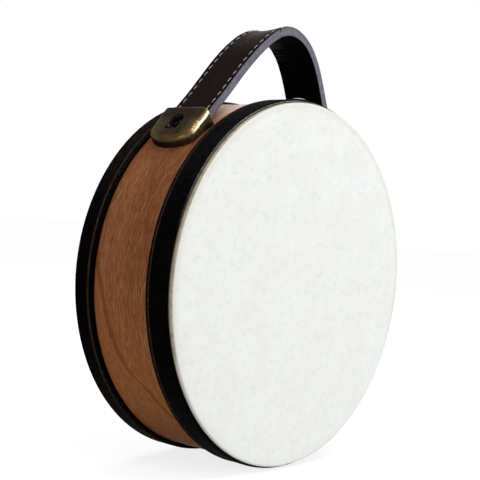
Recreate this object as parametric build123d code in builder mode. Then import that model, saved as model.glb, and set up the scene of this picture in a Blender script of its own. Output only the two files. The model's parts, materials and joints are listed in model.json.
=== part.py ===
"""Single-headed hand drum (tambourine body without jingles) with a leather carrying handle.

Frame: the drum's axis is Y, the playing head faces -Y and its outer face is the plane Y = 0.
+Z points up through the handle, +X is to the right as the head is faced. Sizes are in mm.
"""

import os
from math import cos, degrees, radians, sin, sqrt, tan

from build123d import *

os.makedirs("parts", exist_ok=True)

# ---------------------------------------------------------------- driving dimensions
# Drum body
drum_diameter = 254.0          # over the leather bands, a 10 inch drum
band_thickness = 3.0
shell_wall = 5.0
exposed_wood = 49.4            # bare wood between the two bands
front_band_width = 18.2
rear_band_width = 17.1
head_proud = 4.0               # head face in front of the front band's edge
head_thickness = 0.8
head_edge_radius = 1.6
collar_width = 11.0            # skin turned down over the shell, hidden by the front band
rim_lip_thickness = 2.0        # rear band folded over the shell's back edge
rear_edge_radius = 3.0
band_edge_radius = 1.2
band_front_radius = 1.7        # the front band's edge beside the skin
crease_width = 1.2
crease_depth = 0.5
front_crease_inset = 2.4       # crease line from the band's wood-side edge
rear_crease_inset = 3.1
hoop_thickness = 4.0           # inner reinforcing hoops
hoop_width = 16.0
hoop_setback = 2.6             # front hoop behind the underside of the head
hoop_chamfer = 1.0
bearing_edge_radius = 0.9

# Handle strap: lining, core and top leather, laid up face to face
strap_width = 32.5
lining_thickness = 1.0
core_thickness = 3.2
leather_thickness = 1.8
strap_offset = 0.9             # strap's centre line behind the middle of the bare wood
crown_height = 50.2            # strap's middle surface above the bands, at the crown
foot_rise = 4.0                # middle of the strap above the wood, in the cap's mouth
foot_curl = 3.4                # stretch inside the mouth where the strap lifts off the wood
flex_length = 14.0             # stretch past each mouth where the leather bends
strap_end_margin = 9.0         # strap's end short of the cap's nose
# The worn-in arch, foot to foot: sideways as a share of the half span, up as a share of the rise.
arch_ratios = (
    (-0.82, 0.211),
    (-0.55, 0.528),
    (-0.23, 0.845),
    (0.097, 1.0),
    (0.366, 0.93),
    (0.555, 0.728),
    (0.699, 0.446),
    (0.869, 0.146),
)
stitch_pitch = 6.1
stitch_length = 4.0
stitch_inset = 3.0             # stitch line from the strap's edge
stitch_width = 1.0
stitch_height = 0.5

# Strap caps, pressed brass
cap_width = 42.0
cap_side_narrowing = 1.5       # each side draws in by this from the mouth to the shoulder
cap_length = 27.5              # along the wood, mouth to nose
cap_nose_depth = 6.5           # nose's tip past the shoulders
cap_shoulder_radius = 9.0
cap_mouth_angle = 34.6         # from the top of the drum to the foot of the mouth
cap_mouth_height = 12.6
cap_nose_height = 7.6
cap_mouth_lean = 10.4
cap_draft = 6.0
cap_edge_radius = 4.6
cap_sheet = 1.2
cap_skirt = 4.0                # forms carried below the wood's surface, then trimmed to it
dish_length = 14.4             # dished obround that the screw sits in
dish_floor_length = 12.2
dish_floor_width = 8.2
dish_rim_radius = 0.7
dish_shift = 1.5               # dish's middle from the cap's middle, towards its mouth
screw_offset = 2.0             # screw from the dish's middle, towards the mouth

# Cap fasteners
screw_diameter = 4.0
screw_head_diameter = 7.4
screw_head_height = 1.8
screw_recess_length = 4.4
screw_recess_width = 1.0
screw_recess_depth = 0.9
screw_tail = 1.6               # thread past the nut
screw_hole_clearance = 0.2     # all round
washer_diameter = 12.0
washer_thickness = 1.0
nut_across_flats = 7.0
nut_height = 3.2
fit_gap = 0.1                  # between pieces that only rest on each other

# ---------------------------------------------------------------- worked-out sizes
band_radius = drum_diameter / 2
shell_radius = band_radius - band_thickness
head_radius = shell_radius + head_thickness
shell_bore = shell_radius - shell_wall
hoop_bore = shell_bore - hoop_thickness
front_band_end = head_proud + front_band_width
rear_band_start = front_band_end + exposed_wood
drum_depth = rear_band_start + rear_band_width
shell_back = drum_depth - rim_lip_thickness
collar_end = head_proud + collar_width
strap_middle = (front_band_end + rear_band_start) / 2 + strap_offset
strap_thickness = lining_thickness + core_thickness + leather_thickness
end_radius = shell_radius + fit_gap + strap_thickness / 2      # middle of the strap's end
cap_middle_angle = cap_mouth_angle + degrees(cap_length / 2 / shell_radius)
cap_end_drop = shell_radius - sqrt(shell_radius**2 - (cap_length / 2) ** 2)
screw_angle = cap_middle_angle - degrees((dish_shift + screw_offset) / shell_radius)
screw_hole_radius = screw_diameter / 2 + screw_hole_clearance
dish_floor_height = strap_thickness + 2 * fit_gap              # underside, above the wood
washer_seat = sqrt(shell_bore**2 - (washer_diameter / 2) ** 2)


def on_ring(radius, angle):
    """Point over the strap's middle line, at an angle from the top towards the left cap."""
    return Vector(-radius * sin(radians(angle)), strap_middle, radius * cos(radians(angle)))


def ring_plane(radius, angle):
    """Plane facing outward at on_ring(radius, angle); its local x runs down towards the nose."""
    down = (-cos(radians(angle)), 0, -sin(radians(angle)))
    out = (-sin(radians(angle)), 0, cos(radians(angle)))
    return Plane(origin=on_ring(radius, angle), x_dir=down, z_dir=out)


def write(builder, name):
    """Label a finished sub-part and write its STEP file."""
    builder.part.label = name
    export_step(builder.part, f"parts/{name}.step")


# ---------------------------------------------------------------- drum body
# Every ring is a profile in the YZ plane (local x is Y, local y is the radius) turned about Y.
with BuildPart() as shell:
    with BuildSketch(Plane.YZ):
        with BuildLine():
            Polyline(
                (head_thickness, shell_bore),
                (head_thickness, shell_radius),
                (shell_back, shell_radius),
                (shell_back, shell_bore),
                close=True,
            )
        make_face()
        fillet(vertices().group_by(Axis.X)[0].sort_by(Axis.Y)[-1], bearing_edge_radius)
    revolve(axis=Axis.Y)

with BuildPart() as front_hoop:
    with BuildSketch(Plane.YZ):
        with Locations((head_thickness + hoop_setback, hoop_bore)):
            Rectangle(hoop_width, hoop_thickness, align=(Align.MIN, Align.MIN))
        chamfer(vertices().group_by(Axis.Y)[0], hoop_chamfer)
    revolve(axis=Axis.Y)

with BuildPart() as rear_hoop:
    with BuildSketch(Plane.YZ):
        with Locations((shell_back, hoop_bore)):
            Rectangle(hoop_width, hoop_thickness, align=(Align.MAX, Align.MIN))
        chamfer(vertices().group_by(Axis.Y)[0].sort_by(Axis.X)[0], hoop_chamfer)
    revolve(axis=Axis.Y)

# The skin: a flat face turned down over the bearing edge into a collar round the shell.
with BuildPart() as drumhead:
    with BuildSketch(Plane.YZ):
        with BuildLine():
            Polyline(
                (0, 0),
                (0, head_radius),
                (collar_end, head_radius),
                (collar_end, shell_radius),
                (head_thickness, shell_radius),
                (head_thickness, 0),
                close=True,
            )
        make_face()
        inner_corner = vertices().group_by(Axis.X)[1].sort_by(Axis.Y)[-1]
        fillet(inner_corner, bearing_edge_radius - fit_gap)
        outer_corner = vertices().group_by(Axis.X)[0].sort_by(Axis.Y)[-1]
        fillet(outer_corner, head_edge_radius)
    revolve(axis=Axis.Y)

with BuildPart() as front_band:
    with BuildSketch(Plane.YZ):
        with BuildLine():
            Polyline(
                (head_proud, head_radius),
                (head_proud, band_radius),
                (front_band_end, band_radius),
                (front_band_end, shell_radius),
                (collar_end, shell_radius),
                (collar_end, head_radius),
                close=True,
            )
        make_face()
        outer_corners = vertices().group_by(Axis.Y)[-1].sort_by(Axis.X)
        fillet(outer_corners[0], band_front_radius)
        fillet(vertices().group_by(Axis.Y)[-1].sort_by(Axis.X)[-1], band_edge_radius)
        with Locations((front_band_end - front_crease_inset, band_radius)):
            Rectangle(crease_width, 2 * crease_depth, mode=Mode.SUBTRACT)
    revolve(axis=Axis.Y)

with BuildPart() as rear_band:
    with BuildSketch(Plane.YZ):
        with BuildLine():
            Polyline(
                (rear_band_start, shell_radius),
                (rear_band_start, band_radius),
                (drum_depth, band_radius),
                (drum_depth, hoop_bore),
                (shell_back, hoop_bore),
                (shell_back, shell_radius),
                close=True,
            )
        make_face()
        outer_corners = vertices().group_by(Axis.Y)[-1].sort_by(Axis.X)
        fillet(outer_corners[0], band_edge_radius)
        fillet(vertices().group_by(Axis.Y)[-1].sort_by(Axis.X)[-1], rear_edge_radius)
        with Locations((rear_band_start + rear_crease_inset, band_radius)):
            Rectangle(crease_width, 2 * crease_depth, mode=Mode.SUBTRACT)
    revolve(axis=Axis.Y)

# ---------------------------------------------------------------- left cap
cap_plane = ring_plane(shell_radius, cap_middle_angle)
side_plane = Plane(origin=cap_plane.origin, x_dir=cap_plane.x_dir, z_dir=(0, 1, 0))
screw_plane = ring_plane(shell_radius, screw_angle)
to_nose = Axis(cap_plane.origin, cap_plane.x_dir)
outward = Axis(cap_plane.origin, cap_plane.z_dir)


def cap_solid(inset):
    """The cap's outer form; with an inset, the hollow that runs out through the mouth."""
    half_length = cap_length / 2
    half_width = cap_width / 2
    shoulder = half_width - cap_side_narrowing
    overrun = cap_mouth_height + inset
    lean = radians(cap_mouth_lean)
    up_the_mouth = Vector(-sin(lean), cos(lean))
    mouth_foot = Vector(-half_length - 3 * inset, -cap_end_drop)
    mouth_top = mouth_foot + up_the_mouth * (cap_mouth_height - inset)
    nose_top = Vector(half_length, cap_nose_height - cap_end_drop - inset)
    with BuildPart() as form:
        with BuildSketch(cap_plane.offset(-cap_skirt)):
            with BuildLine():
                nose = ThreePointArc(
                    (half_length - cap_nose_depth, -shoulder),
                    (half_length, 0),
                    (half_length - cap_nose_depth, shoulder),
                )
                Polyline(
                    nose @ 1,
                    (-half_length, half_width),
                    (-half_length - overrun, half_width),
                    (-half_length - overrun, -half_width),
                    (-half_length, -half_width),
                    nose @ 0,
                )
            make_face()
            fillet(vertices().sort_by(Axis.X)[-2:], cap_shoulder_radius)
            offset(amount=cap_skirt * tan(radians(cap_draft)) - inset, kind=Kind.INTERSECTION)
        extrude(amount=cap_skirt + 2 * cap_mouth_height, taper=cap_draft)
        with BuildSketch(side_plane):
            with BuildLine():
                Polyline(
                    mouth_foot - up_the_mouth * (2 * cap_skirt),
                    mouth_top,
                    nose_top + (nose_top - mouth_top) * 0.5,
                    (2 * cap_length, -2 * cap_skirt),
                    close=True,
                )
            make_face()
        extrude(amount=cap_width, both=True, mode=Mode.INTERSECT)
        top_edges = faces().sort_by(outward)[-1].edges()
        fillet(top_edges.sort_by(to_nose)[1:], cap_edge_radius - inset)
    return form.part


# The dish is pressed down from the top until its floor lies on the strap's end.
dish_top_height = cap_mouth_height + cap_edge_radius


def dish_solid(margin, bottom):
    """Flared obround from the dish's floor level upward, its walls grown by a margin."""
    flare = (dish_length - dish_floor_length) / 2
    depth = (cap_mouth_height + cap_nose_height) / 2 - dish_floor_height - cap_sheet
    growth = flare * (dish_top_height - dish_floor_height - cap_sheet) / depth
    with BuildPart() as dish:
        for level, grown in ((bottom, margin), (dish_top_height, margin + growth)):
            with BuildSketch(screw_plane.offset(level)):
                with Locations((screw_offset, 0)):
                    SlotOverall(dish_floor_length + 2 * grown, dish_floor_width + 2 * grown)
        loft()
    return dish.part


with BuildPart() as dish_wall:
    add(dish_solid(cap_sheet, dish_floor_height))
    add(cap_solid(0), mode=Mode.INTERSECT)

with BuildPart() as left_cap:
    add(cap_solid(0))
    add(cap_solid(cap_sheet), mode=Mode.SUBTRACT)
    add(dish_wall.part)
    add(dish_solid(0, dish_floor_height + cap_sheet), mode=Mode.SUBTRACT)
    dished_top = faces().filter_by(lambda face: face.inner_wires()).sort_by(outward)[-1]
    fillet(dished_top.inner_wires()[0].edges(), dish_rim_radius)
    with BuildSketch(Plane.XZ):
        Circle(shell_radius)
    extrude(amount=-drum_depth, mode=Mode.SUBTRACT)
    with BuildSketch(screw_plane):
        Circle(screw_hole_radius)
    extrude(amount=dish_top_height, mode=Mode.SUBTRACT)

# ---------------------------------------------------------------- left cap's fasteners
head_seat = dish_floor_height + cap_sheet                      # above the wood's surface
wood_to_seat = shell_radius - washer_seat
nut_seat = -(wood_to_seat + washer_thickness)

with BuildPart() as left_cap_screw:
    with BuildSketch(screw_plane.offset(head_seat)):
        Circle(screw_head_diameter / 2)
    extrude(amount=screw_head_height)
    fillet(edges().sort_by(outward)[-1], screw_head_height / 3)
    with BuildSketch(screw_plane.offset(head_seat + screw_head_height - screw_recess_depth)):
        Rectangle(screw_recess_length, screw_recess_width)
        Rectangle(screw_recess_width, screw_recess_length)
    extrude(amount=screw_recess_depth, mode=Mode.SUBTRACT)
    with BuildSketch(screw_plane.offset(head_seat)):
        Circle(screw_diameter / 2)
    extrude(amount=nut_seat - nut_height - screw_tail - head_seat)

with BuildPart() as left_cap_washer:
    with BuildSketch(screw_plane.offset(-wood_to_seat)):
        Circle(washer_diameter / 2)
        Circle(screw_hole_radius, mode=Mode.SUBTRACT)
    extrude(amount=-washer_thickness)

with BuildPart() as left_cap_nut:
    with BuildSketch(screw_plane.offset(nut_seat)):
        RegularPolygon(nut_across_flats / 2, 6, major_radius=False)
        Circle(screw_diameter / 2, mode=Mode.SUBTRACT)
    extrude(amount=-nut_height)

# ---------------------------------------------------------------- handle strap
# The strap's middle surface, seen along Y: an arc on the wood under each cap, and the worn-in
# arch between them.
end_angle = cap_mouth_angle + degrees((cap_length - strap_end_margin) / shell_radius)
lift_angle = cap_mouth_angle + degrees(foot_curl / end_radius)
end_tip = on_ring(end_radius, end_angle)
end_middle = on_ring(end_radius, (end_angle + lift_angle) / 2)
lift_point = on_ring(end_radius, lift_angle)
lift_direction = -ring_plane(end_radius, lift_angle).x_dir
foot = on_ring(shell_radius + foot_rise, cap_mouth_angle)
half_span = -foot.X
rise = band_radius + crown_height - foot.Z


def mirrored(point):
    """The same point or direction on the right-hand side."""
    return Vector(-point.X, point.Y, point.Z)


arch_points = [Vector(x * half_span, strap_middle, foot.Z + z * rise) for x, z in arch_ratios]
with BuildLine() as strap_line:
    ThreePointArc(end_tip, end_middle, lift_point)
    arch = Spline(
        lift_point,
        foot,
        *arch_points,
        mirrored(foot),
        mirrored(lift_point),
        tangents=(lift_direction, mirrored(lift_direction) * -1),
    )
    ThreePointArc(mirrored(lift_point), mirrored(end_middle), mirrored(end_tip))


def cut_plane(distance):
    """Plane square to the arch, facing along it, at a distance from its left end."""
    return Plane(
        origin=arch.position_at(distance, position_mode=PositionMode.LENGTH),
        x_dir=(0, 1, 0),
        z_dir=arch.tangent_at(distance, position_mode=PositionMode.LENGTH),
    )


foot_distance = (foot - lift_point).length
flex_distance = foot_distance + flex_length
left_mouth = cut_plane(foot_distance)
left_flex = cut_plane(flex_distance)
right_flex = cut_plane(arch.length - flex_distance)
right_mouth = cut_plane(arch.length - foot_distance)


def strap_layer(thickness, rise_from_middle, start, end):
    """One layer of the strap between two cut planes; None leaves that end whole."""
    path = strap_line.line
    with BuildPart() as layer:
        with BuildSketch(Plane(origin=path @ 0, x_dir=(0, 1, 0), z_dir=path % 0)):
            with Locations((0, rise_from_middle)):
                Rectangle(strap_width, thickness)
        sweep(path=path)
        if start:
            split(bisect_by=start, keep=Keep.TOP)
        if end:
            split(bisect_by=end, keep=Keep.BOTTOM)
    return layer.part


lining_rise = (lining_thickness - strap_thickness) / 2
core_rise = lining_thickness + core_thickness / 2 - strap_thickness / 2
leather_rise = (strap_thickness - leather_thickness) / 2

with BuildPart() as handle_lining:
    add(strap_layer(lining_thickness, lining_rise, left_flex, right_flex))

with BuildPart() as handle_core:
    add(strap_layer(core_thickness, core_rise, left_flex, right_flex))

with BuildPart() as handle_leather:
    add(strap_layer(leather_thickness, leather_rise, left_flex, right_flex))

with BuildPart() as left_strap_bend:
    add(strap_layer(strap_thickness, 0, left_mouth, left_flex))

with BuildPart() as right_strap_bend:
    add(strap_layer(strap_thickness, 0, right_flex, right_mouth))

with BuildPart() as left_strap_end:
    add(strap_layer(strap_thickness, 0, None, left_mouth))
    with BuildSketch(ring_plane(shell_radius, screw_angle)):
        Circle(screw_hole_radius)
    extrude(amount=dish_top_height, mode=Mode.SUBTRACT)

with BuildPart() as right_strap_end:
    add(strap_layer(strap_thickness, 0, right_mouth, None))
    with BuildSketch(ring_plane(shell_radius, -screw_angle)):
        Circle(screw_hole_radius)
    extrude(amount=dish_top_height, mode=Mode.SUBTRACT)

# Stitches: short raised bars in two rows on the top leather, between the bends.
stitched_length = arch.length - 2 * flex_distance
stitch_count = int((stitched_length - stitch_length) / stitch_pitch) + 1
first_stitch = (arch.length - (stitch_count - 1) * stitch_pitch) / 2
row_shift = strap_width / 2 - stitch_inset
with BuildPart() as handle_stitching:
    for number in range(stitch_count):
        section = cut_plane(first_stitch + number * stitch_pitch)
        for side in (-1, 1):
            seat = section.from_local_coords(
                Vector(side * row_shift, strap_thickness / 2 + stitch_height / 2 + fit_gap, 0)
            )
            with Locations(Plane(origin=seat, x_dir=section.x_dir, z_dir=section.z_dir)):
                Box(stitch_width, stitch_height, stitch_length)

# ---------------------------------------------------------------- screw holes and the right side
with BuildPart() as drilled_shell:
    add(shell.part)
    for angle in (screw_angle, -screw_angle):
        with BuildSketch(ring_plane(hoop_bore, angle)):
            Circle(screw_hole_radius)
        extrude(amount=2 * hoop_thickness + 2 * shell_wall, mode=Mode.SUBTRACT)

for builder, name in (
    (drilled_shell, "shell"),
    (front_hoop, "front_hoop"),
    (rear_hoop, "rear_hoop"),
    (drumhead, "drumhead"),
    (front_band, "front_band"),
    (rear_band, "rear_band"),
    (handle_lining, "handle_lining"),
    (handle_core, "handle_core"),
    (handle_leather, "handle_leather"),
    (handle_stitching, "handle_stitching"),
    (left_strap_bend, "left_strap_bend"),
    (right_strap_bend, "right_strap_bend"),
    (left_strap_end, "left_strap_end"),
    (right_strap_end, "right_strap_end"),
):
    write(builder, name)

for builder, name in (
    (left_cap, "cap"),
    (left_cap_screw, "cap_screw"),
    (left_cap_washer, "cap_washer"),
    (left_cap_nut, "cap_nut"),
):
    write(builder, f"left_{name}")
    with BuildPart() as right_piece:
        add(mirror(builder.part, about=Plane.YZ))
    write(right_piece, f"right_{name}")

print("drum depth", round(drum_depth, 2), "strap middle", round(strap_middle, 2))
print("handle hinge height", round(foot.Z, 2), "foot span", round(2 * half_span, 2))
print("arch length", round(arch.length, 1), "stitches a row", stitch_count)
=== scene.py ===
"""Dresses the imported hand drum: wood, bound rims, skin, stitched strap and pressed brass caps.

All sizes are in metres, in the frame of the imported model: the drum's axis is Y, the playing head
faces -Y and +Z points up through the handle. Colours are sRGB values of 0 to 255.
"""

import json
from math import atan2, ceil, cos, exp, pi, radians, sin, tan

import bmesh
import bpy
import numpy as np
from mathutils import Matrix, Vector, noise

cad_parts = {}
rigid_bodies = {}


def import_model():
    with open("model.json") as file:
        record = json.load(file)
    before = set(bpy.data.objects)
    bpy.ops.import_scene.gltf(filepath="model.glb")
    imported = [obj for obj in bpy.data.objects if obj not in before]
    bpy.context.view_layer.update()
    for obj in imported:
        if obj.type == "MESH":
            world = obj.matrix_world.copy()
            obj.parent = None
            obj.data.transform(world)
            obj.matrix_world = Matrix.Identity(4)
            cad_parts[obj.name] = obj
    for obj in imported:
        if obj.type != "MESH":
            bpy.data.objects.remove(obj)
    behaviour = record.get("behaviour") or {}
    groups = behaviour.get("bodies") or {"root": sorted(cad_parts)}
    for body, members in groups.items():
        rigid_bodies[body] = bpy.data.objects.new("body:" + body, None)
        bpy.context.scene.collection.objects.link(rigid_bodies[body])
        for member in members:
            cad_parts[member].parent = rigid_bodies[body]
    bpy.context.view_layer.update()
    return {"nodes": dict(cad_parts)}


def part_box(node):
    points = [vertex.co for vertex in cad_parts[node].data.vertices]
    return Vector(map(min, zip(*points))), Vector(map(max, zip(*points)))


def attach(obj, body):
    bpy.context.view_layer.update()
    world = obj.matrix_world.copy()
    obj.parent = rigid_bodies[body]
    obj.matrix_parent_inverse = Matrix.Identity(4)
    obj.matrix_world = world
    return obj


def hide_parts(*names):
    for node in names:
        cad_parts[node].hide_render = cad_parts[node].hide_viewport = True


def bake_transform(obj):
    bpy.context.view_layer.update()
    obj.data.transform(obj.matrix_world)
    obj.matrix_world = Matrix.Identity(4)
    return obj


for leftover in list(bpy.data.objects):
    bpy.data.objects.remove(leftover)
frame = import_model()
MM = 0.001

# ---------------------------------------- sizes
# Drum, from the frame
band_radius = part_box("front_band")[1].z
shell_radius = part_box("shell")[1].z
head_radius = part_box("drumhead")[1].z
band_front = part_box("front_band")[0].y
front_band_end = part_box("front_band")[1].y
rear_band_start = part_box("rear_band")[0].y
drum_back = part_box("rear_band")[1].y
shell_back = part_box("shell")[1].y
collar_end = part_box("drumhead")[1].y

# Drum, what the scene adds
hoop_bore = 115 * MM
skin_thickness = 0.8 * MM
skin_edge_radius = 1.6 * MM
collar_edge_radius = 0.3 * MM
band_gap = 0.25 * MM              # open line between the front band and the skin
band_gap_depth = 2 * MM
band_inner_radius = 0.2 * MM
band_edge_radius = 1.2 * MM
band_front_radius = 1.7 * MM
rear_edge_radius = 3.0 * MM
rear_fold_radius = 0.8 * MM
crease_width = 1.7 * MM
crease_depth = 0.4 * MM
front_crease = front_band_end - 2.7 * MM
rear_crease = rear_band_start + 3.2 * MM
turned_steps = 360                # round the axis

# Use and handwork on the drum; spans are (middle, width), in radians from the top
band_unevenness = 0.18 * MM
rear_thinning = 0.9 * MM          # the rear band lies thin over the top
rear_thinning_span = (-0.12, 0.9)
front_lift = 1.1 * MM             # the front band has a lifted place at the top
front_lift_span = (-0.065, 0.16)
front_lift_depths = (7 * MM, 8 * MM)    # middle and width too, behind the head
lip_swell = 1.1 * MM              # the skin's edge stands out at the lower left
lip_swell_span = (-2.5, 1.8)

# Strap: the same middle line as the solid strap, foot to foot
strap_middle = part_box("handle_core")[0].y / 2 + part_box("handle_core")[1].y / 2
strap_half_width = 16.25 * MM
strap_half_height = 3.0 * MM
end_radius = shell_radius + 3.1 * MM
foot_radius = shell_radius + 4.0 * MM
mouth_angle = radians(34.6)
lift_angle = radians(36.13)
end_angle = radians(43.15)
crown_height = band_radius + 50.2 * MM
screw_angle = atan2(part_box("right_cap_nut")[0].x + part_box("right_cap_nut")[1].x,
                    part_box("right_cap_nut")[0].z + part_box("right_cap_nut")[1].z)
arch_ratios = (
    (-0.82, 0.211),
    (-0.55, 0.528),
    (-0.23, 0.845),
    (0.097, 1.0),
    (0.366, 0.93),
    (0.555, 0.728),
    (0.699, 0.446),
    (0.869, 0.146),
)
end_length = end_radius * (end_angle - lift_angle)    # of each end, lying on the wood
ring_spacing = 0.45 * MM
skin_inset = 0.1 * MM             # top leather and lining stop this far inside the painted edge
core_inset = 0.32 * MM            # the painted edge stops this far under both faces
core_corner_radius = 0.2 * MM
leather_depth = 0.9 * MM
leather_corner_radius = 0.5 * MM
hole_radius = 2.2 * MM            # for the screws
hole_length = 40 * MM             # of the cutter, clear of the strap at both ends

# Stitches, placed by distance from the lift of the left end
first_stitch = 4.6 * MM
stitch_pitch = 7.05 * MM
stitch_length = 4.2 * MM
stitch_radius = 0.43 * MM
stitch_sides = 8
stitch_steps = 16
front_row = -13.8 * MM            # rows of stitches, across from the strap's middle line
rear_row = 12.4 * MM
stitch_slant = 0.35 * MM
stitch_groove = 0.22 * MM
stitch_groove_width = 1.8 * MM
hole_dimple = 0.35 * MM
hole_dimple_length = 1.2 * MM
hole_dimple_width = 1.6 * MM

# Wear of the strap, placed by distance from the lift of the left end
crown_distance = 110 * MM         # the middle of the bend
bend_rise = 0.9 * MM              # front edge of the top leather, standing up over the bend
bend_rise_length = 44 * MM
bend_sag = 1.9 * MM
bend_sag_length = 70 * MM
front_flare = 0.9 * MM            # front edge spread by use, along the upper strap
flare_start = (40 * MM, 80 * MM)
flare_end = (216 * MM, 196 * MM)
leather_crown = 0.12 * MM
leather_ripple = 0.06 * MM
wrinkle_height = 0.22 * MM        # of the lining, (middle, width) of the wrinkled stretch
wrinkle_span = (crown_distance + 28 * MM, 60 * MM)
paint_unevenness = 0.03 * MM
crack_distance = 101 * MM
crack_depth = 0.45 * MM
crack_width = 1.1 * MM
front_side_middle = 73 * MM       # round the core's outline, from its rear lower corner
spot = (85 * MM, 4 * MM)          # a small dark spot on the leather: along, across

# Caps
cap_voxel = 0.3 * MM
cap_softening = 12                # rounds of smoothing, as for thick sheet
ridge_rounds = 14                 # rounds of evening the measured ridges
pit = (6.6 * MM, 4.5 * MM)        # a corroded pit, from the screw: away from the crown, rearward
pit_width = 3.2 * MM
pit_depth = 0.9 * MM

# Figure of the wood: (share of a turn from the bottom, share of the drum's depth)
growth_line = (
    (0.0, 0.06),
    (0.085, 0.17),
    (0.126, 0.34),
    (0.151, 0.44),
    (0.171, 0.575),
    (0.202, 0.66),
    (0.232, 0.717),
    (0.28, 0.83),
    (0.5, 0.95),
    (0.7, 0.86),
    (0.79, 0.62),
    (0.87, 0.50),
    (0.94, 0.22),
    (1.0, 0.06),
)
shade_line = (
    (0.0, 0.40),
    (0.2, 0.18),
    (0.281, 0.322),
    (0.315, 0.405),
    (0.36, 0.60),
    (0.44, 0.78),
    (0.62, 0.66),
    (0.76, 0.36),
    (1.0, 0.40),
)
figure = ((growth_line, 5.0, 0.60), (shade_line, 9.0, 0.22))    # course, millimetres, strength

# Camera and ground
camera_place = Vector((-587.759, -442.784, 39.756)) * MM
camera_back = Vector((-0.76163, -0.6478, 0.01643))
camera_up = Vector((-0.03899, 0.07112, 0.99671))
camera_lens = 80.07
ground_height = -band_radius - 0.5 * MM
ground_reach = 12
ground_colour = (0.40, 0.40, 0.40, 1)    # the darker, the fainter its shadows
ground_glow = 0.80

# Light
fill_light = 0.45
lamps = (                         # name, place, aim, diameter, watts
    ("key", (0.3, -1.9, 0.35), (0, 0.03, 0.0), 1.1, 18),
    ("top", (0.0, -0.6, 1.5), (0, 0.04, 0.1), 0.7, 9),
    ("back", (0.9, 0.9, 0.9), (0, 0.04, 0.1), 0.8, 5),
    ("left", (-1.4, 0.1, 0.0), (0, 0.04, -0.02), 0.24, 3.5),
    ("glint", (-0.43, -0.9, 1.36), (-0.08, 0.03, 0.11), 0.9, 15),
)
polish_only = "glint"             # this lamp is seen in polish and lights no dull surface


# ---------------------------------------- mesh tools
def add_mesh(name, points, faces, sharp_angle=40):
    """Linked object with outward faces, smooth except where it turns by more than the angle."""
    mesh = bpy.data.meshes.new(name)
    mesh.from_pydata([tuple(p) for p in points], [], faces)
    work = bmesh.new()
    work.from_mesh(mesh)
    bmesh.ops.remove_doubles(work, verts=work.verts, dist=0.001 * MM)
    bmesh.ops.recalc_face_normals(work, faces=work.faces)
    work.to_mesh(mesh)
    work.free()
    mesh.shade_smooth()
    mesh.set_sharp_from_angle(angle=radians(sharp_angle))
    piece = bpy.data.objects.new(name, mesh)
    bpy.context.scene.collection.objects.link(piece)
    return piece


def rounded_outline(corners, steps=6):
    """Closed outline through (x, y, corner radius) triples."""
    outline = []
    for number, (x, y, radius) in enumerate(corners):
        corner = Vector((x, y))
        if not radius:
            outline.append(corner)
            continue
        before = (Vector(corners[number - 1][:2]) - corner).normalized()
        after = (Vector(corners[(number + 1) % len(corners)][:2]) - corner).normalized()
        half = before.angle(after) / 2
        centre = corner + (before + after).normalized() * (radius / sin(half))
        first = corner + before * (radius / tan(half)) - centre
        last = corner + after * (radius / tan(half)) - centre
        turn = pi - 2 * half
        for step in range(steps + 1):
            part = step / steps
            outline.append(
                centre + (first * sin((1 - part) * turn) + last * sin(part * turn)) / sin(turn)
            )
    return outline


def divided(outline, longest):
    """The same closed outline, with no side longer than that."""
    points = []
    for number, start in enumerate(outline):
        side = outline[(number + 1) % len(outline)] - start
        parts = max(1, ceil(side.length / longest))
        points += [start + side * (part / parts) for part in range(parts)]
    return points


def ring_faces(this, other, count):
    """Quads between two closed rings of points, each given by the number of its first point."""
    return [
        (this + number, this + after, other + after, other + number)
        for number, after in zip(range(count), [*range(1, count), 0])
    ]


def tube_faces(start, rounds, count):
    """Faces of a tube of so many rings of points, closed at both ends."""
    faces = []
    for ring in range(start, start + (rounds - 1) * count, count):
        faces += ring_faces(ring, ring + count, count)
    last = start + (rounds - 1) * count
    return faces + [tuple(range(start, start + count)), tuple(range(last, last + count))]


def lathe(name, outline, swell):
    """Ring turned about the drum's axis from (y, radius) points, its radii swollen a little."""
    points, faces = [], []
    count = len(outline)
    for step in range(turned_steps):
        angle = 2 * pi * step / turned_steps
        for y, radius in outline:
            grown = radius + swell(angle, y, radius)
            points.append((grown * sin(angle), y, grown * cos(angle)))
        faces += ring_faces(step * count, (step + 1) % turned_steps * count, count)
    return add_mesh(name, points, faces)


def bump(value, middle, width):
    """Bell curve: 1 at the middle, a seventh at half the width from it."""
    return exp(-((2 * (value - middle) / width) ** 2) * 2)


def ramp(value, low, high):
    """0 at low and 1 at high, with soft ends."""
    share = min(max((value - low) / (high - low), 0.0), 1.0)
    return share * share * (3 - 2 * share)


def from_top(angle):
    """The angle of a turned ring as one of -pi to pi, 0 at the top."""
    return (angle + pi) % (2 * pi) - pi


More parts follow.
